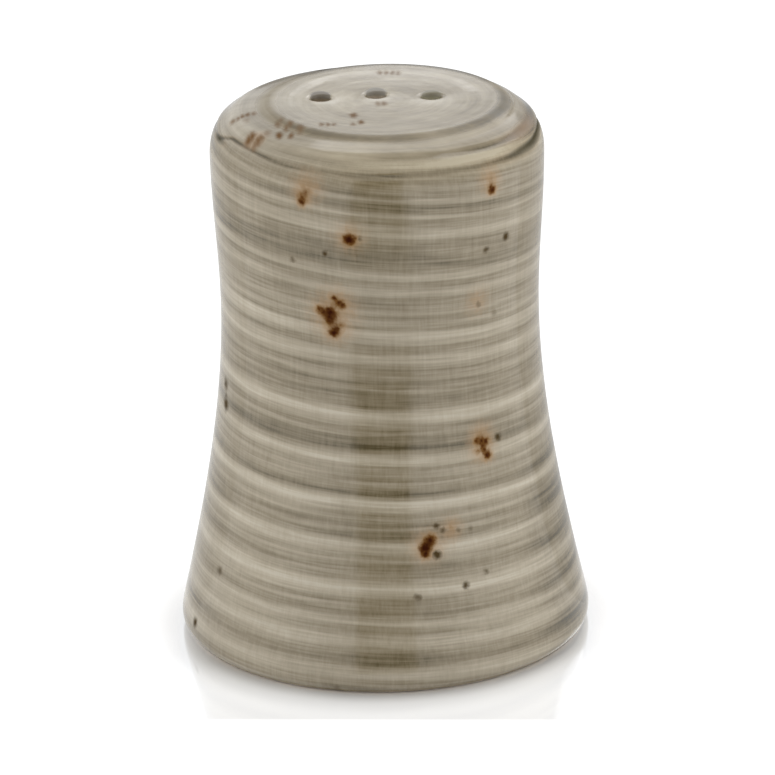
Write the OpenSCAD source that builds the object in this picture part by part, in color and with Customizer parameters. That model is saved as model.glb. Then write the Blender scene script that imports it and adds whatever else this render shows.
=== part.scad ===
// Waisted ceramic salt shaker with a pull-out stopper under its base.
// Millimetres, +Z up; the origin is the centre of the foot ring on the table.

/* [Outline] */
// Overall height, from the table to the raised disc on top
height = 77.4; // [70:0.2:84]
// Widest diameter, just above the foot
base_d = 58; // [55:0.5:64]
// Height of the widest diameter above the table
base_z = 1.9; // [1.2:0.1:3]
// Outer diameter of the ring that stands on the table
foot_d = 55.2; // [53:0.2:57.4]
// Lean of the wall just above the foot, in degrees from upright
flare_angle = 13; // [8:0.5:16]
// Radius with which the foot turns into the leaning wall
flare_round = 6; // [3:0.5:10]
// Diameter of the waist
waist_d = 44.6; // [42:0.2:48]
// Height of the waist above the table
waist_z = 48; // [42:0.2:54]
// Diameter of the shoulder
shoulder_d = 46.5; // [44:0.1:50]
// Depth of the shoulder below the raised disc
shoulder_drop = 7.2; // [5.5:0.1:9]

/* [Top] */
// Diameter of the crease between the shoulder and the rim
crease_d = 44.8; // [43:0.1:46.4]
// Depth of the crease below the raised disc
crease_drop = 3.7; // [2.6:0.1:4.8]
// Width of the rounded rim inside the crease
rim_w = 3.1; // [2:0.1:4]
// Height of the rounded rim above the crease
rim_h = 2.5; // [1.5:0.1:3]
// Turn of the rounded rim before it runs straight to the raised disc, in degrees
rim_turn = 75; // [60:1:85]
// Diameter of the raised disc
disc_d = 32.8; // [28:0.2:35]
// Height of the raised disc above the slope round it
disc_step = 0.5; // [0.2:0.1:0.9]
// Width of the sloping edge of the raised disc
disc_slope = 0.6; // [0.2:0.1:1]

/* [Pour holes] */
// Number of pour holes in the row
hole_n = 3; // [1:2:5]
// Diameter of a pour hole
hole_d = 2.6; // [1.8:0.1:3.4]
// Distance from one pour hole to the next
hole_pitch = 7.7; // [4.5:0.1:8.5]
// Distance of the row's outer holes behind the axis
row_back = 1.4; // [0:0.1:4]
// Distance of the middle hole behind the outer ones
row_bow = 1.1; // [0:0.1:2]
// Width of the glazed lead-in round a pour hole
hole_lead = 0.5; // [0.2:0.1:0.8]

/* [Walls] */
// Thickness of the side wall
wall = 3.6; // [2.5:0.1:4.5]
// Thickness of the top, through the raised disc
top_t = 4.4; // [3:0.1:6]
// Thickness of the floor
floor_t = 4; // [3:0.1:5.5]
// Radius of the corners inside the chamber
corner_round = 4.5; // [2:0.1:6]

/* [Underside] */
// Width of the unglazed ring that stands on the table
foot_w = 2.9; // [2:0.1:3.6]
// Depth of the recess inside the foot ring
recess_h = 3.4; // [3:0.1:4.5]
// Draft of the recess wall, measured at its top
recess_draft = 1; // [0.4:0.1:1.6]
// Diameter of the filling hole
fill_d = 22; // [18:0.5:26]
// Chamfer on both edges of the filling hole
fill_lead = 0.5; // [0.2:0.1:0.8]

/* [Stopper] */
// Radial gap between the sealing ribs and the filling hole
fit_gap = 0.05; // [0.02:0.01:0.1]
// Number of sealing ribs
rib_n = 2; // [1:1:3]
// Height of a sealing rib above the plug
rib_h = 0.45; // [0.2:0.05:0.8]
// Width of a sealing rib at its root
rib_w = 1.1; // [0.7:0.05:1.2]
// Lap of the flange round the filling hole
flange_lap = 3.3; // [2:0.1:5]
// Thickness of the flange
flange_t = 1.9; // [1.2:0.1:2.6]
// Rounded edge of the flange
flange_edge = 0.5; // [0.2:0.1:0.6]
// Height of the plug above the inside of the floor
nose_h = 2.2; // [1.5:0.1:4]
// Lead-in on the plug's nose
nose_lead = 1.2; // [0.5:0.1:1.5]
// Wall of the hollow plug
plug_wall = 2.3; // [1.5:0.1:3]
// Thickness of the plug's closed end
plug_end = 1.8; // [1.2:0.1:2.5]
// Thickness of the pinch bar across the hollow
pinch_t = 2.2; // [1.5:0.1:3]
// Depth of the pinch bar's edge inside the hollow
pinch_inset = 0.4; // [0.2:0.1:1]

/* [Hidden] */
$fn = 96;
over = 1;
side_steps = 14;
arc_steps = 6;

base_r = base_d / 2;
foot_r = foot_d / 2;
waist_r = waist_d / 2;
shoulder_r = shoulder_d / 2;
crease_r = crease_d / 2;
disc_r = disc_d / 2;
hole_r = hole_d / 2;
fill_r = fill_d / 2;

shoulder_z = height - shoulder_drop;
crease_z = height - crease_drop;
rim_r = crease_r - rim_w;
flare_r = base_r - flare_round * (1 - cos(flare_angle));
flare_z = base_z + flare_round * sin(flare_angle);
floor_z = recess_h + floor_t;
roof_z = height - top_t;
foot_in_r = foot_r - foot_w;

core_r = fill_r - rib_h;
rib_r = fill_r - fit_gap;
flange_r = fill_r + flange_lap;
flange_z = recess_h - flange_t;
nose_z = floor_z + nose_h;
hollow_r = core_r - plug_wall;
hollow_z = nose_z - plug_end;
rib_pitch = (floor_t - 2 * fill_lead) / rib_n;

// Smooth curve from a to b with slopes ma and mb, for t from 0 to 1
function blend(t, a, b, ma, mb) =
    (2 * pow(t, 3) - 3 * pow(t, 2) + 1) * a + (pow(t, 3) - 2 * pow(t, 2) + t) * ma
    + (3 * pow(t, 2) - 2 * pow(t, 3)) * b + (pow(t, 3) - pow(t, 2)) * mb;

// Outer radius of the side at height z: turned foot, flare, waist, shoulder
function side_r(z) =
    z <= flare_z ? base_r - flare_round + sqrt(pow(flare_round, 2) - pow(z - base_z, 2))
    : z <= waist_z ? blend((z - flare_z) / (waist_z - flare_z), flare_r, waist_r,
                           -tan(flare_angle) * (waist_z - flare_z), 0)
    : z <= shoulder_z ? blend((z - waist_z) / (shoulder_z - waist_z), waist_r, shoulder_r, 0, 0)
    : shoulder_r;

// Points of the side from height a to height b, moved inwards by inset
function side(a, b, n, inset = 0) =
    [for (i = [0 : n]) let (z = a + (b - a) * i / n) [side_r(z) - inset, z]];

foot_arc = [for (i = [0 : arc_steps - 1]) let (t = 90 * i / arc_steps)
    [foot_r + (base_r - foot_r) * sin(t), base_z * (1 - cos(t))]];
shoulder_arc = [for (i = [1 : arc_steps - 1]) let (t = i / arc_steps)
    [shoulder_r + (crease_r - shoulder_r) * t * t, shoulder_z + (crease_z - shoulder_z) * t]];
rim_arc = [for (i = [0 : arc_steps]) let (t = rim_turn * i / arc_steps)
    [rim_r + rim_w * cos(t), crease_z + rim_h * sin(t)]];

outer_profile = concat(
    [[0, 0]],
    foot_arc,
    [[base_r, base_z]],
    side(flare_z, waist_z, side_steps),
    side(waist_z + (shoulder_z - waist_z) / arc_steps, shoulder_z, arc_steps - 1),
    shoulder_arc,
    rim_arc,
    [[disc_r + disc_slope, height - disc_step], [disc_r, height], [0, height]]);

chamber_low = floor_z + corner_round;
chamber_high = roof_z - corner_round;
low_corner = [for (i = [0 : arc_steps - 1]) let (t = 90 * i / arc_steps)
    [side_r(chamber_low) - wall - corner_round * (1 - sin(t)), chamber_low - corner_round * cos(t)]];
high_corner = [for (i = [1 : arc_steps]) let (t = 90 * i / arc_steps)
    [side_r(chamber_high) - wall - corner_round * (1 - cos(t)), chamber_high + corner_round * sin(t)]];

chamber_profile = concat(
    [[0, floor_z]],
    low_corner,
    side(chamber_low, chamber_high, side_steps, wall),
    high_corner,
    [[0, roof_z]]);

// Filling hole through the floor, with both edges eased
module fill_hole() {
    translate([0, 0, recess_h - over])
        cylinder(r = fill_r, h = floor_t + 2 * over);
    translate([0, 0, recess_h - over])
        cylinder(r1 = fill_r + fill_lead + over, r2 = fill_r, h = fill_lead + over);
    translate([0, 0, floor_z - fill_lead])
        cylinder(r1 = fill_r, r2 = fill_r + fill_lead + over, h = fill_lead + over);
}

// Row of pour holes through the top, bowed backwards in the middle
module pour_holes() {
    middle = (hole_n - 1) / 2;
    for (i = [0 : hole_n - 1]) {
        bow = middle > 0 ? row_bow * (1 - pow((i - middle) / middle, 2)) : row_bow;
        translate([(i - middle) * hole_pitch, row_back + bow, 0]) {
            translate([0, 0, roof_z - over])
                cylinder(r = hole_r, h = top_t + 2 * over);
            translate([0, 0, height - hole_lead])
                cylinder(r1 = hole_r, r2 = hole_r + hole_lead + over, h = hole_lead + over);
        }
    }
}

// One-piece glazed body: waisted wall, rounded rim, raised disc, foot ring
module shaker_body() {
    color([0.70, 0.67, 0.60])
        difference() {
            rotate_extrude() polygon(outer_profile);
            rotate_extrude() polygon(chamber_profile);
            translate([0, 0, -over])
                cylinder(r1 = foot_in_r + recess_draft * over / recess_h, r2 = foot_in_r - recess_draft,
                         h = recess_h + over);
            fill_hole();
            pour_holes();
        }
}

// Profile of one sealing rib, its middle at height z
function rib(z) = [[core_r, z - rib_w / 2], [rib_r, z - rib_w / 5], [rib_r, z + rib_w / 5], [core_r, z + rib_w / 2]];

stopper_profile = concat(
    [[0, hollow_z], [hollow_r, hollow_z], [hollow_r, flange_z], [flange_r - flange_edge, flange_z],
     [flange_r, flange_z + flange_edge], [flange_r, recess_h], [core_r, recess_h]],
    [for (i = [0 : rib_n - 1]) each rib(recess_h + fill_lead + rib_pitch * (i + 0.5))],
    [[core_r, nose_z - nose_lead], [core_r - nose_lead, nose_z], [0, nose_z]]);

// Soft stopper: flange, hollow plug with sealing ribs, and a bar to pinch and pull
module stopper() {
    bar_z = flange_z + pinch_inset;
    color([0.90, 0.89, 0.86]) {
        rotate_extrude() polygon(stopper_profile);
        intersection() {
            translate([0, 0, bar_z])
                cylinder(r = hollow_r + plug_wall / 2, h = hollow_z - bar_z + plug_end / 2);
            translate([-hollow_r - plug_wall, -pinch_t / 2, bar_z])
                cube([2 * (hollow_r + plug_wall), pinch_t, hollow_z - bar_z + plug_end / 2]);
        }
    }
}

shaker_body();
stopper();
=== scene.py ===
import math
import random

import bmesh
import bpy
import numpy as np
from mathutils import Matrix, Vector, geometry


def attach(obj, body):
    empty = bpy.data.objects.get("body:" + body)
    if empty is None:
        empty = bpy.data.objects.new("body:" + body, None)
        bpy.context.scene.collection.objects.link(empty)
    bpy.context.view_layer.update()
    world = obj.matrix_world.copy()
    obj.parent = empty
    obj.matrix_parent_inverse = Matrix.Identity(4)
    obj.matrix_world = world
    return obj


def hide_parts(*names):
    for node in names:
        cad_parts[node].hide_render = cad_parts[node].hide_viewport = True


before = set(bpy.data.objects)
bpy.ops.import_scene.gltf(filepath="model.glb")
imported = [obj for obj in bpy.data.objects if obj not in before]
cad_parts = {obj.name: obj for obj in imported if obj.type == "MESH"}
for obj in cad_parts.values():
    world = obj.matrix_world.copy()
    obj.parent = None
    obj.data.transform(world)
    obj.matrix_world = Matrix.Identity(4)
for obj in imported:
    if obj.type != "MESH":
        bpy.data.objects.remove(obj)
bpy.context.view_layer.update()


# Shaker body: one hollow piece of stoneware, cast with a turned foot and a waist, pierced with three
# pour holes in its raised top, brushed with grey-beige glaze while it turned on a wheel, and fired.
# It stands on its own unglazed foot ring, and the filling hole in its floor takes the stopper.
mm = 0.001
height = 77.4
foot_r, base_r, base_z = 27.6, 29.0, 1.9
flare_angle, flare_round = math.radians(13), 6.0
waist_r, waist_z = 22.3, 48.0
shoulder_r, shoulder_z = 23.25, 70.2
crease_r, crease_z, crease_w = 22.4, 73.7, 0.4
rim_w, rim_h, rim_turn, rim_bevel = 3.1, 2.5, math.radians(75), 1.6
rim_relief, rim_relief_w, rim_out, rim_up, bead_at = 0.05, 0.8, 0.66, 0.75, 75
disc_r, disc_step, disc_slope, disc_dish = 16.4, 0.5, 0.6, 0.2
disc_ease_in, disc_ease_out, disc_ring_sunk = 0.9, 0.8, 0.05
disc_off, disc_off_from, disc_off_to = 1.2, 17.2, 19.6
wall, roof_z, floor_z, recess_z = 3.6, 73.0, 7.4, 3.4
chamber_round = 4.5
land_r, recess_r, recess_draft, recess_round = 24.7, 22.4, 1.0, 0.6
fill_r, fill_lead, fill_ease = 11.0, 0.5, 0.2
pour_r, lip_r, lip_swell, lip_swell_w, roof_ease = 1.3, 2.4, 0.06, 2.8, 0.15
patch_r, patch_step, patch_row = 13.4, 1.0, 0.866
pour_holes = [(-7.7, 1.4), (0.0, 2.5), (7.7, 1.4)]
around, round_hole = 192, 48

# The glaze was brushed on in one long spiral. A stroke is (height at the front in mm, tone): thick glaze
# is pale and over 1, thin glaze shows the darker clay and is under 1. The turns of the spiral are joined
# softly at the back, between two turns from the front.
low_strokes = [(0, .9), (1, .8), (3, 1.2), (5, .65), (7.5, 1.25), (9, .95), (10, 1.2), (11.5, .75),
               (12.5, 1), (13, .9), (14.5, 1.35), (17.5, .75), (18.5, 1), (19, .9), (20.5, 1.35), (22, .7),
               (23, .9), (23.5, .7), (24.5, 1.05), (25, .9), (26.5, 1.5), (28, .65), (29.5, 1), (30, .85),
               (30.5, 1.1), (31.5, .95), (32.5, 1.4), (34.5, .6), (35.5, .75), (36.5, 1), (37, .8),
               (39, 1.45)]
high_strokes = [(39, 1.45), (40.5, .85), (42, .8), (42.5, .95), (43.5, .75), (44.5, 1.05), (45.5, .85),
                (47, 1.3), (49, .8), (49.5, 1.15), (51, 1.4), (51.5, .85), (52.5, 1.15), (53, .9),
                (54, 1.05), (55.5, .85), (57, 1.2), (58.5, .85), (59, 1.25), (61, .75), (64.5, .85),
                (65.5, 1.25), (67.5, .9), (68, 1.15), (69.5, .7), (70.5, 1.15), (71, .85), (72.5, 1.05),
                (73, .9), (75, 1.2), (76.5, 1.4), (77.8, .85)]
spiral_low, spiral_rise, stroke_relief = 5.8, 0.0017, 0.018
join_from, join_to = 0.33, 0.5


def hermite(t, a, b, slope_a, slope_b):
    rise = 3 * t**2 - 2 * t**3
    return (1 - rise) * a + rise * b + (t**3 - 2 * t**2 + t) * slope_a + (t**3 - t**2) * slope_b


def side_radius(z):
    """Radius of the outside at a height: turned foot, flare, waist, shoulder, and in again to the crease."""
    flare_r = base_r - flare_round * (1 - math.cos(flare_angle))
    flare_z = base_z + flare_round * math.sin(flare_angle)
    if z <= flare_z:
        return base_r - flare_round + math.sqrt(flare_round**2 - (z - base_z) ** 2)
    if z <= waist_z:
        lean = -math.tan(flare_angle) * (waist_z - flare_z)
        return hermite((z - flare_z) / (waist_z - flare_z), flare_r, waist_r, lean, 0)
    if z <= shoulder_z:
        return hermite((z - waist_z) / (shoulder_z - waist_z), waist_r, shoulder_r, 0, 0)
    return shoulder_r + (crease_r - shoulder_r) * ((z - shoulder_z) / (crease_z - shoulder_z)) ** 2


def smooth(value, low, high):
    t = np.clip((np.asarray(value, float) - low) / (high - low), 0, 1)
    return t * t * (3 - 2 * t)


def bump_at(value, middle, width):
    return np.exp(-(((np.asarray(value, float) - middle) / width) ** 2))


def rim_point(t):
    """Radius and height on the rim: a bevel, a little rounded, from the crease up to the slope."""
    return (crease_r - rim_w + rim_w * math.cos(t) ** rim_bevel,
            crease_z + rim_h * math.sin(t) ** rim_bevel)


rim_in, rim_top = rim_point(rim_turn)


def disc_height(r):
    """Height of the top at a radius from the raised disc's middle: dished disc, sunk ring, slope."""
    ring_r, ring_z = disc_r + disc_slope, height - disc_step
    slope = ring_z + (rim_top - ring_z) * (r - ring_r) / (rim_in - ring_r)
    disc = height - disc_dish * (1 - np.clip(r / disc_r, 0, 1) ** 2)
    edge = smooth(r, disc_r - disc_ease_in, ring_r + disc_ease_out)
    return disc * (1 - edge) + slope * edge - disc_ring_sunk * bump_at(r, ring_r + 0.2, 0.8)


# The section runs from the edge of the pierced patch over the top, down the side, under the foot, up
# through the filling hole and round the chamber to the roof. A row is (radius, height, sideways shift, kind).
plain_row, side_row, rim_row = 0, 1, 2
rows = []
for r in np.linspace(patch_r, rim_in, 26, endpoint=False):
    shift = disc_off * float(1 - smooth(r, disc_off_from, disc_off_to))
    rows.append((r, float(disc_height(r)), shift, plain_row))
for t in np.linspace(rim_turn, 0, 26, endpoint=False):
    rows.append((*rim_point(t), 0, rim_row))
for z in np.concatenate([np.linspace(crease_z, crease_z - 1.2, 9, endpoint=False),
                         np.linspace(crease_z - 1.2, base_z, 180, endpoint=False)]):
    rows.append((side_radius(z), z, 0, side_row))
under_rows = []
for t in np.linspace(math.pi / 2, 0, 10, endpoint=False):
    under_rows.append((foot_r + (base_r - foot_r) * math.sin(t), base_z * (1 - math.cos(t))))
under_rows += [(foot_r, 0), (foot_r - 0.9, 0), (land_r + 0.9, 0), (land_r + 0.25, 0), (land_r + 0.06, 0.07),
               (land_r - 0.08, 0.3)]
for t in np.linspace(0.2, 0.8, 5):
    under_rows.append((land_r - recess_draft * t, recess_z * t))
for t in np.linspace(0, math.pi / 2, 5):
    in_corner = recess_round * (1 - math.cos(t)) - 0.15 * math.cos(t)
    under_rows.append((land_r - recess_draft - in_corner, recess_z - recess_round * (1 - math.sin(t))))
for r in np.linspace(recess_r, fill_r + fill_lead, 12):
    under_rows.append((r, recess_z))
under_rows += [(fill_r + fill_ease, recess_z + fill_ease), (fill_r, recess_z + fill_lead),
               (fill_r, floor_z - fill_lead), (fill_r + fill_ease, floor_z - fill_ease),
               (fill_r + fill_lead, floor_z)]
low_r = side_radius(floor_z + chamber_round) - wall - chamber_round
high_r = side_radius(roof_z - chamber_round) - wall - chamber_round
for r in np.linspace(fill_r + 1.5, low_r, 6, endpoint=False):
    under_rows.append((r, floor_z))
for t in np.linspace(0, math.pi / 2, 8, endpoint=False):
    under_rows.append((low_r + chamber_round * math.sin(t), floor_z + chamber_round * (1 - math.cos(t))))
for z in np.linspace(floor_z + chamber_round, roof_z - chamber_round, 32, endpoint=False):
    under_rows.append((side_radius(z) - wall, z))
for t in np.linspace(0, math.pi / 2, 8):
    under_rows.append((high_r + chamber_round * math.cos(t), roof_z - chamber_round * (1 - math.sin(t))))
rows += [(r, z, 0, plain_row) for r, z in under_rows]
rows += [(patch_r + 0.2, roof_z, disc_off * 0.9, plain_row), (patch_r, roof_z, disc_off, plain_row)]

# The crease under the rim runs aslant, highest at the left, and is deepest at the right end; a softer
# valley runs round the rim above it. Both are as the hand that turned the wet clay left them. A step is
# (turn where it starts, turn where it ends, rise in mm), with turns from -0.5 to 0.5 and 0 at the front.
turn = np.arange(around) / around
turn = np.where(turn > 0.5, turn - 1, turn)
crease_level, valley_level = 74.15, 77
groove_least, groove_right, groove_left = 0.06, 0.22, 0.06
crease_steps = [(-0.12, 0.16, -1.05), (0.19, 0.24, 0.4), (-0.085, -0.165, 1.5), (-0.18, -0.22, -1.8),
                (0.3, 0.5, 0.35)]
valley_steps = [(0.07, 0.13, -0.85), (0.3, 0.5, 0.85)]
valley_dip, valley_dip_turn = 0.5, -0.03
deepest = smooth(turn, 0.08, 0.2) * (1 - smooth(turn, 0.32, 0.45))
crease_groove = groove_least + groove_right * deepest + groove_left * smooth(-turn, 0.1, 0.16)
crease_line = sum((rise * smooth(turn, *ends) for *ends, rise in crease_steps), crease_level)
valley_line = sum((rise * smooth(turn, *ends) for *ends, rise in valley_steps), valley_level)
valley_line = valley_line - valley_dip * bump_at(turn, valley_dip_turn, 0.03)


def brushed_relief(z):
    """How far the brushed glaze stands out at height z, round the body: pale strokes are thick ones."""
    heights, tones = zip(*(low_strokes + high_strokes[1:]))
    pitch = spiral_low + spiral_rise * z * z
    here = np.interp(z + pitch * turn, heights, tones)
    other = np.interp(z + pitch * (turn - np.sign(turn)), heights, tones)
    share = 0.5 * smooth(np.abs(turn), join_from, join_to)
    return stroke_relief * (here * (1 - share) + other * share - 1)


points, faces = [], []
swept = 2 * math.pi * turn
for r, z, shift, kind in rows:
    out, up = np.full(around, r), np.full(around, z)
    if kind == side_row:
        below_shoulder = float(1 - smooth(z, 70.5, 73))
        out += brushed_relief(z) * below_shoulder - crease_groove * bump_at(z, crease_line, crease_w)
    if kind == rim_row:
        along = z + crease_r - r
        bead = bump_at(along, bead_at, rim_relief_w) - bump_at(along, valley_line, rim_relief_w)
        lift = rim_relief * bead - crease_groove * bump_at(along, crease_line, crease_w)
        out, up = out + rim_out * lift, up + rim_up * lift
    points.append(np.stack([shift + out * np.sin(swept), -out * np.cos(swept), up], 1))
for row in range(len(rows) - 1):
    for j in range(around):
        k = (j + 1) % around
        faces.append((row * around + j, row * around + k, (row + 1) * around + k, (row + 1) * around + j))
points = list(np.concatenate(points))
top_edge = list(range(around))
roof_edge = list(range((len(rows) - 1) * around, len(rows) * around))

# The pierced patch: its flat layout is shared by the top and the roof under it.
flat = [tuple(points[i][:2]) for i in top_edge]
ties = [(j, (j + 1) % around) for j in range(around)]
hole_turn = 2 * math.pi * np.arange(round_hole) / round_hole
for hx, hy in pour_holes:
    first = len(flat)
    flat += [(hx + lip_r * math.cos(t), hy + lip_r * math.sin(t)) for t in hole_turn]
    ties += [(first + j, first + (j + 1) % round_hole) for j in range(round_hole)]
for i in range(-14, 15):
    for j in range(-16, 17):
        fx, fy = disc_off + patch_step * (i + 0.5 * (j % 2)), patch_step * patch_row * j
        if math.hypot(fx - disc_off, fy) < patch_r - 0.6:
            if all(math.hypot(fx - hx, fy - hy) > lip_r + 0.5 for hx, hy in pour_holes):
                flat.append((fx, fy))
laid = geometry.delaunay_2d_cdt([Vector(p) for p in flat], ties, [], 0, 1e-5)
laid_points, laid_faces = laid[0], laid[2]
in_hole = lip_r * math.cos(math.pi / round_hole) - 1e-3


def pierced_patch(edge, heights):
    """Adds the patch at these heights, joined to a ring of the body, and returns each pour hole's ring."""
    found, rings = {}, [[None] * round_hole for _ in pour_holes]
    known = {(round(points[i][0], 3), round(points[i][1], 3)): i for i in edge}
    for i, p in enumerate(laid_points):
        key = (round(p.x, 3), round(p.y, 3))
        if key in known:
            found[i] = known[key]
            continue
        found[i] = len(points)
        points.append(np.array([p.x, p.y, heights(p.x, p.y)]))
        for ring, (hx, hy) in zip(rings, pour_holes):
            if abs(math.hypot(p.x - hx, p.y - hy) - lip_r) < 1e-3:
                t = math.atan2(p.y - hy, p.x - hx) / (2 * math.pi) * round_hole
                ring[round(t) % round_hole] = found[i]
    for face in laid_faces:
        cx = sum(laid_points[i].x for i in face) / 3
        cy = sum(laid_points[i].y for i in face) / 3
        if all(math.hypot(cx - hx, cy - hy) > in_hole for hx, hy in pour_holes):
            faces.append(tuple(found[i] for i in face))
    return rings


def top_height(x, y):
    near_holes = sum(float(bump_at(math.hypot(x - hx, y - hy), 0, lip_swell_w)) for hx, hy in pour_holes)
    return float(disc_height(math.hypot(x - disc_off, y))) + lip_swell * (near_holes - 1)


top_rings = pierced_patch(top_edge, top_height)
roof_rings = pierced_patch(roof_edge, lambda x, y: roof_z)
# A pour hole's wall is (radius, height from the top): the glaze swells a little round it, rolls over the
# edge and runs down. Its last two rings are level and ease it into the roof.
hole_wall = [(2.1, 0.01), (1.85, 0.0), (1.68, -0.05), (1.53, -0.15), (1.42, -0.3), (1.35, -0.52),
             (pour_r, -0.85), (pour_r, -1.6), (pour_r, -2.8)]
hole_end = [(pour_r, roof_z + roof_ease), (pour_r + roof_ease, roof_z)]
for (hx, hy), top_ring, roof_ring in zip(pour_holes, top_rings, roof_rings):
    last = top_ring
    for number, (r, level) in enumerate(hole_wall + hole_end):
        lower_ring = []
        for t in hole_turn:
            px, py = hx + r * math.cos(t), hy + r * math.sin(t)
            pz = top_height(px, py) + level if number < len(hole_wall) else level
            lower_ring.append(len(points))
            points.append(np.array([px, py, pz]))
        faces += [(last[j], last[j - 1], lower_ring[j - 1], lower_ring[j]) for j in range(round_hole)]
        last = lower_ring
    faces += [(last[j], last[j - 1], roof_ring[j - 1], roof_ring[j]) for j in range(round_hole)]


def new_piece(name, places, faces, sharp):
    """A smooth closed mesh from points in millimetres, with the edges sharper than an angle left crisp."""
    mesh = bpy.data.meshes.new(name)
    mesh.from_pydata([tuple(float(c) * mm for c in p) for p in places], [], faces)
    shape = bmesh.new()
    shape.from_mesh(mesh)
    bmesh.ops.recalc_face_normals(shape, faces=shape.faces)
    shape.to_mesh(mesh)
    shape.free()
    mesh.polygons.foreach_set("use_smooth", [True] * len(mesh.polygons))
    mesh.set_sharp_from_angle(angle=math.radians(sharp))
    piece = bpy.data.objects.new(name, mesh)
    bpy.context.scene.collection.objects.link(piece)
    return piece


body = new_piece("glazed_body", points, faces, 50)


class Wire:
    """A node's socket that takes part in plain arithmetic: each sign adds its Math node."""

    def __init__(self, tree, socket=None):
        self.tree = tree
        self.socket = socket

    def node(self, kind, settings=None, sockets=None, out=0):
        """Adds a node with its settings and the values or links of its sockets; out names what it gives."""
        made = self.tree.nodes.new(kind)
        for name, value in (settings or {}).items():
            if name == "stops":
                stops = made.color_ramp.elements
                while len(stops) > 1:
                    stops.remove(stops[-1])
                for i, (place, colour) in enumerate(value):
                    stop = stops[0] if i == 0 else stops.new(place)
                    stop.position = place
                    stop.color = (*colour, 1) if hasattr(colour, "__len__") else (colour, colour, colour, 1)
            elif name == "ease":
                made.color_ramp.interpolation = value
            else:
                setattr(made, name, value)
        for name, value in (sockets or {}).items():
            if isinstance(value, Wire):
                self.tree.links.new(value.socket, made.inputs[name])
            else:
                made.inputs[name].default_value = value
        if isinstance(out, tuple):
            return tuple(Wire(self.tree, made.outputs[o]) for o in out)
        return Wire(self.tree, made.outputs[out] if len(made.outputs) else None)

    def maths(self, operation, *values):
        return self.node("ShaderNodeMath", {"operation": operation}, dict(enumerate(values)))

    def __add__(self, other):
        return self.maths("ADD", self, other)

    __radd__ = __add__

    def __sub__(self, other):
        return self.maths("SUBTRACT", self, other)

    def __rsub__(self, other):
        return self.maths("SUBTRACT", other, self)

    def __mul__(self, other):
        return self.maths("MULTIPLY", self, other)

    __rmul__ = __mul__

    def __truediv__(self, other):
        return self.maths("DIVIDE", self, other)

    def __neg__(self):
        return self.maths("MULTIPLY", self, -1)

    def __abs__(self):
        return self.maths("ABSOLUTE", self)


def new_material(name):
    material = bpy.data.materials.new(name)
    material.use_nodes = True
    material.node_tree.nodes.clear()
    return material, Wire(material.node_tree)


def eased(value, low, high):
    """0 below low, 1 above high, and a soft step between them."""
    limits = {"Value": value, "From Min": low, "From Max": high}
    return value.node("ShaderNodeMapRange", {"interpolation_type": "SMOOTHSTEP"}, limits)


def near(value, middle, width):
    """1 at the middle, falling softly to 0 at that distance from it."""
    return eased(abs(value - middle), width, 0)


def larger(a, b):
    return a.maths("MAXIMUM", a, b)


def length(place):
    return place.node("ShaderNodeVectorMath", {"operation": "LENGTH"}, {0: place}, 1)


def distance(place, point):
    return place.node("ShaderNodeVectorMath", {"operation": "DISTANCE"}, {0: place, 1: point}, 1)


def mixed(share, a, b, kind="MIX"):
    return share.node("ShaderNodeMix", {"data_type": "RGBA", "blend_type": kind}, {0: share, 6: a, 7: b}, 2)


def blended(share, first, second):
    return share.node("ShaderNodeMixShader", {}, {0: share, 1: first, 2: second})


def noise(place, scale, detail=2.0, rough=0.5, out=0):
    return place.node("ShaderNodeTexNoise", {}, {"Vector": place, "Scale": scale, "Detail": detail,
                                                 "Roughness": rough}, out)


def vector(x, y, z):
    return x.node("ShaderNodeCombineXYZ", {}, {0: x, 1: y, 2: z})


def place_in_mm(start):
    place = start.node("ShaderNodeTexCoord", {}, {}, "Object")
    return place.node("ShaderNodeVectorMath", {"operation": "SCALE"}, {0: place, "Scale": 1 / mm})


glaze, start = new_material("brushed_glaze")
place = place_in_mm(start)
x, y, z = place.node("ShaderNodeSeparateXYZ", {}, {0: place}, (0, 1, 2))
flat_place = vector(x, y, 0.0)
radius = length(flat_place)
disc_radius = distance(flat_place, (disc_off, 0, 0))
turned = x.maths("ARCTAN2", x, -y) / (2 * math.pi)
turned_size = abs(turned)
turned_side = turned.maths("SIGN", turned)
# Up the side and then inwards over the rim, so that the strokes turn into rings on top
along = z + larger(crease_r - radius, 0)
on_top = eased(z, 74.5, 76.1)
on_rim = eased(z, 73.9, 74.3)
not_behind = 1 - eased(turned_size, 0.36, 0.5)
across = vector(x / radius, y / radius, along * 0.04)
wander = (noise(across, 1.4, 1.0) - 0.5) * 0.5
pitch = spiral_low + spiral_rise * z * z
# A colour ramp takes 32 stops, so the strokes lie on two, which meet where the high strokes begin
ramp_span, high_from = 40, 38


def stroke_ramp(winding, strokes, bottom):
    stops = [((up - bottom) / ramp_span, tone / 2) for up, tone in strokes]
    place_on = (winding - bottom) / ramp_span if bottom else winding / ramp_span
    return winding.node("ShaderNodeValToRGB", {"stops": stops, "ease": "EASE"}, {0: place_on}) * 2


def brushed_tone(winding):
    """Tone of the glaze at a height along the spiral: the strokes, with hair lines of the brush in them."""
    strokes = stroke_ramp(winding, low_strokes, 0) + stroke_ramp(winding, high_strokes, high_from)
    hairs = noise(vector(x / radius * 1.5, y / radius * 1.5, winding * 1.3), 1.0, 3.0, 0.62) - 0.5
    finer = noise(vector(x / radius * 2.6, y / radius * 2.6, winding * 3.1), 1.0, 1.0) - 0.5
    return strokes - low_strokes[-1][1] + hairs * 0.66 + finer * 0.58


def patch(up, middle, tall, turn_at, wide):
    """1 in the middle of a patch of the glaze, falling to 0 that far above, below and to either side."""
    return near(up, middle, tall) * near(turned, turn_at, wide)


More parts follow.
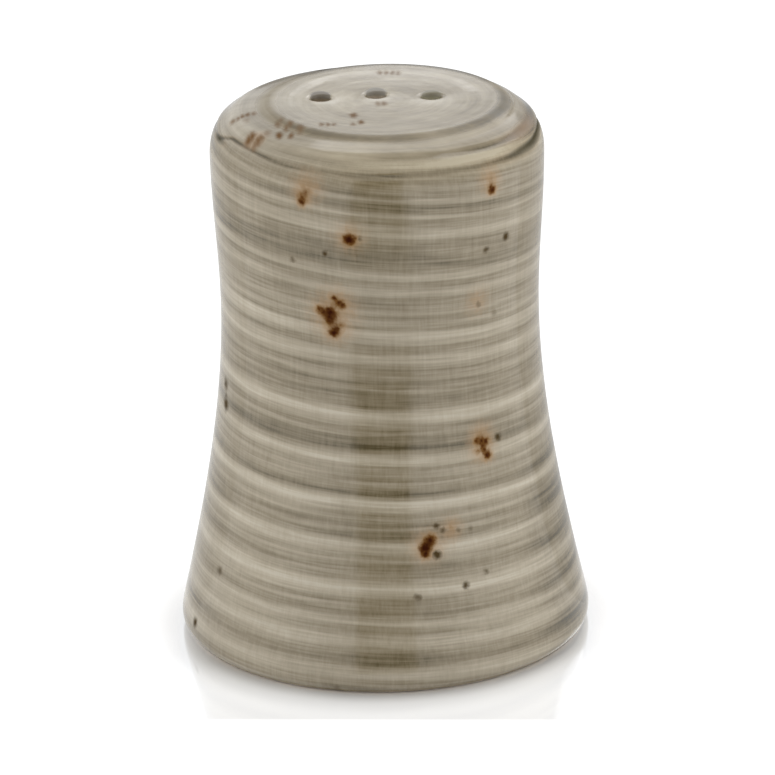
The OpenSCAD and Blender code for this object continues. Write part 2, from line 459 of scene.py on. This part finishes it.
spiral = along + wander + pitch * turned
back_share = eased(turned_size, join_from, join_to) * 0.5
tone = brushed_tone(spiral) * (1 - back_share) + brushed_tone(spiral - pitch * turned_side) * back_share
# Strokes come and go round the body
patchy = noise(vector(x * 0.06, y * 0.06, z * 0.05), 1.0, 2.0)
tone = 1 + (tone - 1) * (0.62 + patchy * 0.76)
# The bristles also left a faint upright hatch and finer threads, and the glaze flowed into small blots
hatch = noise(vector(x * 1.7, y * 1.7, z * 0.15), 1.0, 2.0, 0.6) - 0.5
threads = noise(vector(x * 3.4, y * 3.4, z * 0.3), 1.0, 2.0, 0.6) - 0.5
blots = noise(place, 0.55, 3.0, 0.6) - 0.5
tone = tone + hatch * 0.26 + threads * 0.12 + blots * 0.16
# Darker places on the side: (height, half its height, turn, half its width, how much darker)
for *where, darker in ((61, 10, -0.1, 0.13, 0.12), (26, 7, -0.036, 0.016, 0.13),
                       (72.5, 1.2, 0.0, 0.035, 0.24)):
    tone = tone - patch(z, *where) * darker
# Painted light and shade on the flare: paler to each side of its middle, where the side lights fall, and
# painted shade towards both ends
flare = (1 - eased(z, 20, 34)) * not_behind
painted_side_light = eased(turned_size, 0.03, 0.09) * 0.12
painted_edge_shade = eased(turned, 0.12, 0.18) * 0.36 + eased(-turned, 0.13, 0.19) * 0.12
tone = tone + (painted_side_light - painted_edge_shade) * flare
# The top was wiped to a quieter tone, in rings, and is paler towards the left and a little towards the back.
# Round the pour holes the paler spots are painted glare, and a few spots are darker: (x, y, reach, how much
# paler)
rings = (noise(vector(disc_radius * 0.9, x / radius, y / radius), 1.0, 3.0, 0.6) - 0.5) * 1.05
mottle = (noise(vector(x * 0.14, y * 0.3, 0.0), 1.0, 3.0, 0.65) - 0.5) * 0.9
top_tone = 1.12 + rings + mottle - x * 0.0055 + y * 0.001
for sx, sy, reach, paler in ((-4, 2.4, 3.2, .3), (1.8, 2.4, 1.6, .25), (4, 4.6, 3, -.3),
                             (-3.6, -1.8, 4.5, .14), (6, -2.8, 4.5, .1), (-13.5, -4, 5, -.12),
                             (-10, 1, 8, .36), (0, 13, 6, -.12)):
    top_tone = top_tone + eased(distance(flat_place, (sx, sy, 0)), reach, 0) * paler
tone = tone * (1 - on_top) + top_tone * on_top
# The crease under the rim is dark with glaze gathered in it and with painted shade, most at its right end;
# the valley inside the bead holds dark glaze, with painted shade at its right end; and the dark ring round
# the disc is painted shade on the step at its edge
right_end = eased(turned, 0.08, 0.2) * not_behind
left_end = eased(-turned, 0.1, 0.22) * not_behind
crease_at = sum((eased(turned, *ends) * rise for *ends, rise in crease_steps), crease_level)
valley_at = sum((eased(turned, *ends) * rise for *ends, rise in valley_steps), valley_level)
valley_at = valley_at - near(turned, valley_dip_turn, 0.05) * valley_dip
disc_ring = near(disc_radius, disc_r + 0.1, 1.6 + left_end) * on_top
crease_depth = 0.42 + 0.4 * right_end + 0.15 * left_end - near(turned, -0.04, 0.07) * 0.2
valley_depth = 0.1 + 0.45 * right_end - 0.15 * left_end
ring_painted_shade = 0.45 + 0.05 * right_end - 0.2 * left_end
pooled_glaze_and_painted_light = near(along, crease_at, 0.75) * crease_depth + disc_ring * ring_painted_shade
pooled_glaze_and_painted_light = pooled_glaze_and_painted_light + near(along, valley_at, 0.9 + 0.3 * right_end) * valley_depth
# Painted shade: the rim, the slope and the edge of the disc are darker behind, and the first two at the right
# end as well
rim_painted_shade = eased(turned_size, 0.22, 0.34) * 0.3 + near(turned, 0.22, 0.08) * 0.5
slope_painted_shade = eased(turned_size, 0.27, 0.38) * 0.5 + near(turned, 0.2, 0.09) * 0.3
disc_edge_painted_shade = eased(turned_size, 0.3, 0.42) * 0.5
pooled_glaze_and_painted_light = pooled_glaze_and_painted_light + near(along, 76, 3.2) * rim_painted_shade + near(along, 80, 3.4) * slope_painted_shade
pooled_glaze_and_painted_light = pooled_glaze_and_painted_light + near(disc_radius, disc_r - 0.3, 2.2) * on_top * disc_edge_painted_shade
# The bead carries a painted highlight, and the left of the slope is paler. Patches are as on the side, with
# heights along the section, and where they are paler the last number is under 0
pooled_glaze_and_painted_light = pooled_glaze_and_painted_light - near(along, bead_at, 1.1) * 0.1 - near(along, 78, 3) * left_end * 0.3
for *where, darker in ((78.1, 1.7, -0.05, 0.14, -0.26), (74.9, 1.3, 0.1, 0.08, -0.4),
                       (74.4, 1.2, 0.2, 0.05, 0.22)):
    pooled_glaze_and_painted_light = pooled_glaze_and_painted_light + patch(along, *where) * darker
# Painted shade along the lowest edge of the foot, where it meets the floor
painted_foot_shade = 1 - eased(z, 0.0, 0.7)
tone = tone - pooled_glaze_and_painted_light - 0.3 * painted_foot_shade
glaze_colour = tone.node("ShaderNodeValToRGB", {"stops": [
    (0.0, (0.04, 0.032, 0.013)), (0.21, (0.083, 0.064, 0.031)), (0.32, (0.136, 0.11, 0.064)),
    (0.47, (0.201, 0.166, 0.107)), (0.61, (0.252, 0.215, 0.15)), (0.75, (0.303, 0.263, 0.19)),
    (0.92, (0.373, 0.33, 0.25)), (1.0, (0.41, 0.366, 0.285))]}, {0: (tone - 0.2) / 1.4})
# The glaze is a little warmer on the shoulder and the top, where it lies thicker
thicker = eased(z, 71.0, 73.5) * eased(x, -18, -2)
glaze_colour = mixed(thicker, glaze_colour, (1.0, 0.97, 0.88, 1), "MULTIPLY")

# Iron in the clay came through the glaze, as rusty burns with a stain round them and as small dull dots.
# On the side they are (degrees round from the front, height, reach, strength), and on top
# (x, y, reach, strength), in mm.
burns = [(-26, 70.3, 1.3, .65), (-25, 71, 1, .5), (-26.5, 69.6, 1, .8), (-25, 71.6, 2.2, .28),
         (-10, 64.7, 1.35, 1.15), (-10, 65, 2, .25), (-16, 55.9, .9, .75), (-14.5, 55.3, 1.1, .85),
         (-13, 55, 1, .75), (-21.5, 54.1, 1, .75), (-20, 53.8, 1.1, .8), (-17.5, 53.8, 1.5, 1),
         (-18, 53.1, 1.5, 1), (-18, 52.4, 1.2, .8), (-16.5, 50.9, 1.3, .95), (-15.5, 51.5, 1.1, .75),
         (-14, 52, .9, .45), (-17, 53.6, 3, .3), (-15.5, 51.6, 2, .3), (-14.5, 55.2, 2, .28),
         (34, 33.8, .9, .75), (36, 33.5, 1.1, .85), (38, 33.3, 1, .8), (36.5, 32.8, .9, .8),
         (37, 32.2, 1, .8), (38, 31.4, 1.1, .85), (34.5, 32.3, .9, .5), (36, 34.4, 1.8, .3),
         (36.5, 32.6, 2.2, .28), (14.5, 21.1, 1.3, 1), (13.5, 20.6, 1.2, 1), (13, 20.1, 1.4, 1.15),
         (13, 19.3, 1.1, .95), (14, 20.4, 2.4, .3), (22, 22.3, 1.6, .28), (42, 69.6, 1.1, .85),
         (41.5, 70.2, .9, .6), (41.5, 71, 1.9, .28), (36.5, 53.8, 1.5, .17)]
dots = [(-6.5, 64.9, .55, .5), (-18.5, 62.5, .65, .9), (-31, 60.9, .7, .6), (49.5, 62, .95, 1),
        (39.5, 61, .75, .75), (43.5, 33.4, .85, .85), (16.5, 19, .95, 1), (17, 23, .7, .8),
        (19, 22.3, .7, .75), (24.5, 21.9, .55, .5), (28.5, 21.8, .55, .35), (25, 14.2, .85, .8),
        (32.5, 15.4, .65, .6), (9.5, 13.5, .75, .65), (-60, 12.7, .9, .65), (-69.5, 3.5, 1.1, .9),
        (-73, 38.1, 1.3, .75), (-71.5, 35.4, 1.4, .9), (-72, 36.6, .8, .5), (-14, .8, .7, .5),
        (37, 53.3, .7, .42), (44.5, 51.3, .75, .32)]
top_dots = [(-19.8, -4, .8, .4), (-19.1, -3.9, .8, .4), (-18.4, -3.4, .8, .45), (-17.7, -3.1, .8, .45),
            (-16.9, -3.1, .8, .35), (-17.9, -5.3, 1.05, .2), (-17.5, -11.1, 1.05, .55),
            (-17, -10.8, 1.05, .55), (-15.8, -12.1, .9, .45), (-16.2, -12.4, .9, .5),
            (-16.6, -12.8, .8, .4), (-14.9, -11, .9, .25), (-13.5, -9.1, .9, .35), (-13, -8.3, .8, .25),
            (-12.4, -10.8, .9, .4), (-11.8, -9.9, .9, .4), (-13.3, -12.6, 1, .6), (-11.7, -13.2, .9, .5),
            (-10.4, -12, 1.15, .35), (-7.5, -10.9, .8, .4), (-6.6, -11, .8, .4), (-5.8, -10.9, .8, .35),
            (-3.1, -6.7, 1.05, .5), (-2.1, -9.9, .9, .5), (-3.2, -10.7, .8, .35), (.3, -1.5, .9, .35),
            (1.1, -1.6, .9, .4), (.6, 12.2, .8, .35), (1.5, 12.2, .8, .35), (2.4, 12.2, .8, .35),
            (3.2, 12, .8, .3)]
chance = random.Random(7)
for _ in range(14):
    degrees, up, count = chance.uniform(88, 272), chance.uniform(8, 68), chance.choice((1, 1, 2, 3))
    for _ in range(count):
        spread = (degrees + chance.uniform(-3, 3), up + chance.uniform(-1.2, 1.2))
        (dots if count == 1 else burns).append((*spread, chance.uniform(0.6, 1.3), chance.uniform(0.6, 1)))
# Flecks are ragged: the place is pushed about by two noises, each (scale, how far in mm)
ragged = place
for scale, how_far in ((0.75, 0.6), (2.2, 0.5)):
    push = noise(place, scale, out=1)
    push = push.node("ShaderNodeVectorMath", {"operation": "SUBTRACT"}, {0: push, 1: (0.5, 0.5, 0.5)})
    ragged = push.node("ShaderNodeVectorMath", {"operation": "MULTIPLY_ADD"},
                       {0: push, 1: (how_far, how_far, how_far), 2: ragged})
dot_spread, burn_join = 1.1, 0.4
top_dot_reach, top_dot_stretch = 0.8, 0.45
side_dot_depth, top_dot_depth = 1.25, 1.85


def on_side(flecks):
    """The flecks of the side as (point, reach, strength)."""
    placed = []
    for degrees, up, reach, strength in flecks:
        r, a = side_radius(max(up, base_z)), math.radians(degrees)
        placed.append(((r * math.sin(a), -r * math.cos(a), up), reach, strength))
    return placed


def burnt_iron(spot, flecks):
    """How much iron there is in burns: each thins out evenly to its reach, and neighbours run together."""
    most = None
    for point, reach, strength in flecks:
        amount = distance(spot, point) * (-strength / reach) + strength
        most = amount if most is None else most.maths("SMOOTH_MAX", most, amount, burn_join)
    return most


def dotted_iron(spot, flecks):
    """How much iron there is in dots, each with a soft edge of its own."""
    most = None
    for point, reach, strength in flecks:
        amount = eased(distance(spot, point), reach * dot_spread, 0) * strength
        most = amount if most is None else larger(most, amount)
    return most


rust = burnt_iron(ragged, on_side(burns)) + (noise(place, 1.7, 2.0) - 0.5) * 0.3 + 0.02
rusted = eased(rust, 0.02, 0.6)
burn = rust + (noise(place, 0.9, 2.0) - 0.5) * 0.3
rust_colour = burn.node("ShaderNodeValToRGB", {"stops": [
    (0.15, (0.28, 0.18, 0.085)), (0.32, (0.195, 0.108, 0.036)), (0.5, (0.12, 0.053, 0.013)),
    (0.7, (0.06, 0.02, 0.004)), (0.9, (0.028, 0.005, 0.001))]}, {0: burn})
# The stain lies round the burns, round the dots at the left of the rim, and on the worn right of the rim
rim_dots = distance(flat_place, (-16.6, -11.8, 0))
worn = patch(along, 76, 2.4, 0.2, 0.08)
stain = eased(rust, -0.18, 0.3) * 0.42 + eased(rim_dots, 2.6, 0.6) * eased(z, 74.2, 74.9) * 0.4 + worn * 0.34
colour = mixed(stain, glaze_colour, (0.36, 0.21, 0.095, 1))
# Dots on top are drawn out towards the front and the back
top_spot = ragged.node("ShaderNodeVectorMath", {"operation": "MULTIPLY"},
                       {0: ragged, 1: (1, top_dot_stretch, 0)})
placed_dots = [((fx, fy * top_dot_stretch, 0), reach * top_dot_reach, strength)
               for fx, fy, reach, strength in top_dots]
dotted = dotted_iron(top_spot, placed_dots) * on_rim * top_dot_depth
dotted = dotted + dotted_iron(ragged, on_side(dots)) * side_dot_depth
dot_colour = mixed(on_rim, (0.055, 0.036, 0.014, 1), (0.15, 0.084, 0.038, 1))
# Painted shade in the deep ends of the crease: a near-black colour with little gloss, strongest at the right
# end, with two patches at the left
painted_crease_shade = near(along, crease_at, 1.15) * eased(turned, 0.1, 0.22) * not_behind * 0.95
painted_crease_shade = painted_crease_shade + patch(along, 73.8, 0.9, -0.212, 0.03) * 0.75
painted_crease_shade = painted_crease_shade + patch(along, crease_at, 0.9, -0.18, 0.05) * 0.38
# The dull finish covers the burns, the dots and the painted shade of the crease
dull = larger(larger(rusted, painted_crease_shade), dotted)
dull_colour = mixed(eased(painted_crease_shade, 0.0, 0.4), rust_colour, (0.045, 0.037, 0.017, 1))
dull_colour = mixed(eased(dotted - rusted, 0.02, 0.15), dull_colour, dot_colour)
# The foot ring is wiped clean of glaze, and the glaze inside the recess and the chamber is plain
grain = noise(place, 1.6, 4.0, 0.7)
clay_colour = grain.node("ShaderNodeValToRGB", {"stops": [
    (0.3, (0.40, 0.31, 0.21)), (0.5, (0.50, 0.40, 0.29)), (0.7, (0.56, 0.46, 0.34))]}, {0: grain})
plain = mixed(eased(noise(place, 0.12, 3.0), 0.3, 0.7), (0.30, 0.265, 0.195, 1), (0.37, 0.33, 0.25, 1))
under = (1 - eased(z, 3.2, 3.6)) * (1 - eased(radius, land_r - 0.5, land_r + 0.1))
inner = (1 - eased(radius, 19.6, 20.0)) * eased(z, 3.7, 4.0) * (1 - eased(z, 73.4, 74.6))
colour = mixed(larger(under, inner), colour, plain)
# Each pour hole is painted with shade on its far lip and with the light and shade of its wall inside, each
# hole its own: (how far back, lip's colour, wall's)
painted_hole_light_and_shade = ((0.8, (0.065, 0.05, 0.03, 1), (0.36, 0.27, 0.17, 1)),
           (1.0, (0.12, 0.105, 0.08, 1), (0.62, 0.52, 0.4, 1)),
           (0.5, (0.14, 0.125, 0.08, 1), (0.54, 0.51, 0.36, 1)))
lips = 0
for (hx, hy), (set_back, lip, inside) in zip(pour_holes, painted_hole_light_and_shade):
    from_hole = length(vector((x - hx) * 1.15, (y - hy - set_back) * 0.75, 0.0))
    near_lip = eased(from_hole, 2.0, 1.35) * eased(z, 73.0, 73.2)
    lips = near_lip + lips
    colour = mixed(near_lip * 0.9, colour, mixed(eased(z, 76.1, 76.9), inside, lip))
bare = (1 - eased(z + (grain - 0.5) * 0.3, 0.12, 0.3)) * eased(radius, land_r - 0.5, land_r)
colour = mixed(bare, colour, clay_colour)

gloss = 0.1 + 0.07 * eased(noise(place, 0.35, 3.0), 0.35, 0.7) + bare * 0.55 + disc_ring * 0.35
gloss = gloss + lips * 0.3 + worn * 0.35
skin = tone * 0.3 + (noise(place, 0.9, 2.0) - 0.5) * 0.4 + bare * grain - rusted * 0.5
normal = skin.node("ShaderNodeBump", {}, {"Strength": 0.15, "Distance": 0.0001, "Height": skin})
shader = colour.node("ShaderNodeBsdfPrincipled", {}, {"Base Color": colour, "Roughness": gloss, "IOR": 1.6,
                                                      "Normal": normal})
# The dull finish, for the burns and dots and for the painted crease shade
burnt_and_shaded = colour.node("ShaderNodeBsdfPrincipled", {}, {"Base Color": dull_colour, "Roughness": 0.5, "IOR": 1.5,
                                                     "Specular IOR Level": 0.02, "Normal": normal})
shader = blended(dull, shader, burnt_and_shaded)
shader.node("ShaderNodeOutputMaterial", {}, {"Surface": shader})
body.data.materials.append(glaze)
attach(body, "body")
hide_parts("shaker_body")


# Stopper: a soft white silicone plug, moulded in one piece. Two ribs seal it in the filling hole, its flange
# laps the floor under the recess, and a bar across its hollow is pinched to pull it out.
core_r, rib_r, rib_w = fill_r - 0.45, fill_r - 0.05, 1.1
flange_r, flange_z, nose_z = 14.3, 1.5, 9.6
hollow_r, hollow_z = 8.25, 7.8
bar_t, bar_z, bar_round = 2.2, 1.9, 0.8
bar_into_wall, bar_into_end, bar_spread = 0.9, 0.8, 0.35
stopper_around = 128


def corner(a, b, c, size, n=5):
    """Points that round the corner b between a and c."""
    a, b, c = (np.array(p, float) for p in (a, b, c))
    start = b + (a - b) / np.linalg.norm(a - b) * size
    end = b + (c - b) / np.linalg.norm(c - b) * size
    return [tuple((1 - t) ** 2 * start + 2 * t * (1 - t) * b + t * t * end) for t in np.linspace(0, 1, n)]


# Each corner of the outline has its round, from the middle of the hollow to the middle of the nose.
outline = [(0, hollow_z), (hollow_r, hollow_z), (hollow_r, flange_z), (flange_r, flange_z),
           (flange_r, recess_z), (core_r, recess_z)]
for rib_z in (recess_z + fill_lead + 0.75, recess_z + fill_lead + 2.25):
    outline += [(core_r, rib_z - rib_w / 2), (rib_r, rib_z), (core_r, rib_z + rib_w / 2)]
outline += [(core_r, nose_z), (0, nose_z)]
rounds = [0, 0.9, 0.4, 0.5, 0.25, 0.12] + [0.2, 0.3, 0.2] * 2 + [1.1, 0]
section = []
for i, size in enumerate(rounds):
    if size:
        section += corner(outline[i - 1], outline[i], outline[i + 1], size)
points, faces = [], []
for r, up in section:
    for j in range(stopper_around):
        a = 2 * math.pi * j / stopper_around
        points.append((r * math.cos(a), r * math.sin(a), up))
for row in range(len(section) - 1):
    for j in range(stopper_around):
        k = (j + 1) % stopper_around
        a, b = row * stopper_around, (row + 1) * stopper_around
        faces.append((a + j, a + k, b + k, b + j))
for first, up in ((0, hollow_z), ((len(section) - 1) * stopper_around, nose_z)):
    points.append((0, 0, up))
    faces += [(len(points) - 1, first + j, first + (j + 1) % stopper_around) for j in range(stopper_around)]
stopper = new_piece("silicone_stopper", points, faces, 60)

# The pinch bar is a rounded slab that reaches into the plug's wall and closed end, fused with it.
bar_half, bar_end, bar_high = bar_t / 2, hollow_r + bar_into_wall, hollow_z + bar_into_end
high_left, low_left, low_right, high_right = [(-bar_half, bar_high), (-bar_half, bar_z), (bar_half, bar_z),
                                              (bar_half, bar_high)]
profile = [high_left]
profile += corner(high_left, low_left, low_right, bar_round, 7)
profile += corner(low_left, low_right, high_right, bar_round, 7)
profile += [high_right]
points, faces = [], []
stations = np.linspace(-bar_end, bar_end, 41)
for sx in stations:
    wider = 1 + bar_spread * (abs(sx) / bar_end) ** 4
    points += [(sx, py * wider, pz) for py, pz in profile]
count = len(profile)
for s in range(len(stations) - 1):
    for j in range(count):
        k = (j + 1) % count
        faces.append((s * count + j, s * count + k, (s + 1) * count + k, (s + 1) * count + j))
faces += [tuple(range(count)), tuple(range((len(stations) - 1) * count, len(stations) * count))]
bar = new_piece("pinch_bar", points, faces, 60)
fuse = stopper.modifiers.new("fuse", "BOOLEAN")
fuse.operation, fuse.solver, fuse.object = "UNION", "EXACT", bar
fused = bpy.data.meshes.new_from_object(stopper.evaluated_get(bpy.context.evaluated_depsgraph_get()))
stopper.modifiers.clear()
stopper.data = fused
bpy.data.objects.remove(bar)
stopper.data.set_sharp_from_angle(angle=math.radians(55))

silicone, start = new_material("soft_white_silicone")
place = place_in_mm(start)
cloud = noise(place, 0.22, 3.0)
dust = eased(noise(place, 2.6, 4.0, 0.7), 0.52, 0.75)
tint = mixed(eased(cloud, 0.3, 0.7), (0.70, 0.69, 0.65, 1), (0.77, 0.765, 0.735, 1))
tint = mixed(dust * 0.25, tint, (0.58, 0.56, 0.51, 1))
matt = 0.48 + 0.14 * cloud + dust * 0.1
pebble = noise(place, 5.0, 3.0, 0.6)
normal = pebble.node("ShaderNodeBump", {}, {"Strength": 0.2, "Distance": 0.00005, "Height": pebble})
shader = tint.node("ShaderNodeBsdfPrincipled", {}, {"Base Color": tint, "Roughness": matt, "IOR": 1.41,
                                                    "Normal": normal})
shader.node("ShaderNodeOutputMaterial", {}, {"Surface": shader})
stopper.data.materials.clear()
stopper.data.materials.append(silicone)
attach(stopper, "stopper")
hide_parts("stopper")


# Floor: a plain sheet of white acrylic under the shaker, lit evenly, with a faint mirror image in it. It is
# clear from below, so that the underside can be looked at.
floor_half, floor_gap = 3.0, 0.00005
floor_mesh = bpy.data.meshes.new("floor")
floor_corners = [(sx * floor_half, sy * floor_half, 0) for sx, sy in ((-1, -1), (1, -1), (1, 1), (-1, 1))]
floor_mesh.from_pydata(floor_corners, [], [(0, 1, 2, 3)])
floor = bpy.data.objects.new("floor", floor_mesh)
floor.location.z = -floor_gap
bpy.context.scene.collection.objects.link(floor)
acrylic, start = new_material("white_acrylic")
seen, glossy = start.node("ShaderNodeLightPath", {}, {}, ("Is Camera Ray", "Is Glossy Ray"))
from_below = start.node("ShaderNodeNewGeometry", {}, {}, "Backfacing")
spot = start.node("ShaderNodeTexCoord", {}, {}, "Object")
sideways, forward = spot.node("ShaderNodeSeparateXYZ", {}, {0: spot}, (0, 1))
from_middle = length(spot)
lit = start.node("ShaderNodeBsdfDiffuse", {}, {"Color": (0.8, 0.8, 0.8, 1)})
paper = start.node("ShaderNodeBsdfDiffuse", {}, {"Color": (0.95, 0.95, 0.95, 1)})
white = start.node("ShaderNodeEmission", {}, {"Color": (1, 1, 1, 1), "Strength": 1.2})
mirror = start.node("ShaderNodeBsdfGlossy", {}, {"Color": (0.94, 0.965, 1, 1), "Roughness": 0.05})
clear = start.node("ShaderNodeBsdfTransparent", {}, {})
in_shade = (1 - eased(from_middle, 0.0285, 0.0365)) * (0.5 + 0.35 * eased(forward, -0.006, -0.018)) + 0.15
# The polish is a strip in front of the shaker, with a level front edge, and fades to its sides and back
front_edge = forward + sideways * 0.05
polish = eased(front_edge, -0.0378, -0.0366) * eased(from_middle, 0.062, 0.05)
polish = polish * (0.55 - 0.25 * eased(from_middle, 0.028, 0.032))
polish = polish * eased(abs(sideways), 0.0315, 0.0275) * eased(forward, 0.012, 0.0)
# Under the recess the sheet gives light of its own, which shows the underside
window = eased(from_middle, 0.0274, 0.027)
underlight = start.node("ShaderNodeEmission", {}, {"Color": (1, 1, 1, 1), "Strength": 0.75})
shown = blended(polish, blended(in_shade, white, paper), mirror)
upper = blended(larger(seen, glossy), blended(window, lit, underlight), shown)
sheet = blended(from_below, upper, clear)
sheet.node("ShaderNodeOutputMaterial", {}, {"Surface": sheet})
floor.data.materials.append(acrylic)


# Studio light: a wide softbox at each side, a smaller one behind and above, cards that only the gloss shows,
# and a grey room that is white to the camera and in the glaze.
scene = bpy.context.scene
lamp_aim = Vector((0, 0, 0.035))


def softbox(name, degrees, lift, far, wide, tall, level):
    """An area lamp turned to the shaker; level is how bright its face is, where white is 1."""
    lamp = bpy.data.lights.new(name, "AREA")
    lamp.shape, lamp.size, lamp.size_y = "RECTANGLE", wide, tall
    lamp.energy = level * math.pi * wide * tall
    light = bpy.data.objects.new(name, lamp)
    a, e = math.radians(degrees), math.radians(lift)
    towards = Vector((math.sin(a) * math.cos(e), -math.cos(a) * math.cos(e), math.sin(e)))
    light.location = towards * far + lamp_aim
    light.rotation_mode = "QUATERNION"
    light.rotation_quaternion = towards.to_track_quat("Z", "Y")
    light.visible_camera = False
    scene.collection.objects.link(light)
    return light


for name, side in (("softbox_left", -1), ("softbox_right", 1)):
    softbox(name, 74 * side, 18, 0.5, 0.94, 0.5, 2.3).visible_glossy = False
softbox("softbox_back", 158, 50, 0.6, 0.5, 0.6, 1.4)
table = 0.0005


def card(name, near_edge, far_edge, tall, fade, grey, sides=None):
    """A card that lies on the table and turns up at its far edge, and fades from white to its grey between
    two distances from the shaker. Sides, where given, are how far they splay and where they fade."""
    (ax, ay), (bx, by) = near_edge
    (cx, cy), (dx, dy) = far_edge
    corners = [(ax, ay, table), (bx, by, table), (dx, dy, table), (cx, cy, table), (dx, dy, tall),
               (cx, cy, tall)]
    felt_mesh = bpy.data.meshes.new(name)
    felt_mesh.from_pydata(corners, [], [(0, 1, 2, 3), (3, 2, 4, 5)])
    piece = bpy.data.objects.new(name, felt_mesh)
    felt, start = new_material(name)
    spot = start.node("ShaderNodeTexCoord", {}, {}, "Object")
    share = eased(length(spot), *fade)
    if sides:
        splay, clear_at, full_at = sides
        wide, deep = spot.node("ShaderNodeSeparateXYZ", {}, {0: spot}, (0, 1))
        share = share * eased(abs(wide) + deep * splay, clear_at, full_at)
    shade = mixed(share, (1, 1, 1, 1), (grey, grey, grey, 1))
    dull = shade.node("ShaderNodeEmission", {}, {"Color": shade, "Strength": 1.0})
    dull.node("ShaderNodeOutputMaterial", {}, {"Surface": dull})
    felt_mesh.materials.append(felt)
    piece.visible_camera = piece.visible_diffuse = piece.visible_shadow = False
    scene.collection.objects.link(piece)


card("front_card", ((-0.07, -0.135), (0.07, -0.135)), ((-0.113, -0.33), (0.113, -0.33)), 0.22,
     (0.138, 0.168), 0.02, (0.22, 0.036, 0.008))
card("left_card", ((-0.033, 0.003), (0.0, 0.033)), ((-0.33, 0.1), (-0.05, 0.36)), 0.12, (0.03, 0.05), 0.82)
card("right_card", ((0.033, 0.003), (0.0, 0.033)), ((0.33, 0.13), (0.03, 0.36)), 0.12, (0.03, 0.05), 0.68)
card("back_card", ((-0.3, 0.22), (0.3, 0.22)), ((-0.3, 0.7), (0.3, 0.7)), 0.001, (0.22, 0.25), 0.15)
card("right_flag", ((-0.02, 0.4), (0.42, 0.34)), ((-0.02, 0.401), (0.42, 0.341)), 0.115, (0.2, 0.3), 0.06)
card("left_flag", ((-0.4, 0.35), (-0.02, 0.4)), ((-0.4, 0.351), (-0.02, 0.401)), 0.115, (0.2, 0.3), 0.35)
room = bpy.data.worlds.new("studio")
room.use_nodes = True
room.node_tree.nodes.clear()
start = Wire(room.node_tree)
seen, glossy, through = start.node("ShaderNodeLightPath", {}, {},
                                   ("Is Camera Ray", "Is Glossy Ray", "Is Transmission Ray"))
level = mixed(larger(larger(seen, glossy), through), (0.3, 0.3, 0.3, 1), (1, 1, 1, 1))
sky = level.node("ShaderNodeBackground", {}, {"Color": level, "Strength": 1.0})
sky.node("ShaderNodeOutputWorld", {}, {"Surface": sky})
scene.world = room
scene.view_settings.view_transform = "Standard"


# Camera: a long lens 0.8 m away that looks down by 20 degrees, rolled by one. It is turned a little aside,
# so that the shaker stands where it does in the photograph.
camera_far, camera_lift, camera_roll = 0.8, math.radians(20.4), math.radians(1.1)
pixels, focal_pixels = 775, 5680
middle_px = (381.0, 361.9)
aim = Vector((0, 0, 0.0385))
ahead = Vector((0, math.cos(camera_lift), -math.sin(camera_lift)))
right = Vector((math.cos(camera_roll), -math.sin(camera_roll) * math.sin(camera_lift),
                -math.sin(camera_roll) * math.cos(camera_lift)))
above = right.cross(ahead)
aside = (right * ((pixels / 2 - middle_px[0]) / focal_pixels)
         + above * ((middle_px[1] - pixels / 2) / focal_pixels))
back = -(ahead + aside).normalized()
right = (right - back * right.dot(back)).normalized()
above = back.cross(right)
lens = bpy.data.cameras.new("camera")
lens.sensor_width = 36
lens.lens = lens.sensor_width * focal_pixels / pixels
camera = bpy.data.objects.new("camera", lens)
turned_to = Matrix((right, above, back)).transposed().to_4x4()
camera.matrix_world = Matrix.Translation(aim - ahead * camera_far) @ turned_to
scene.collection.objects.link(camera)
scene.camera = camera
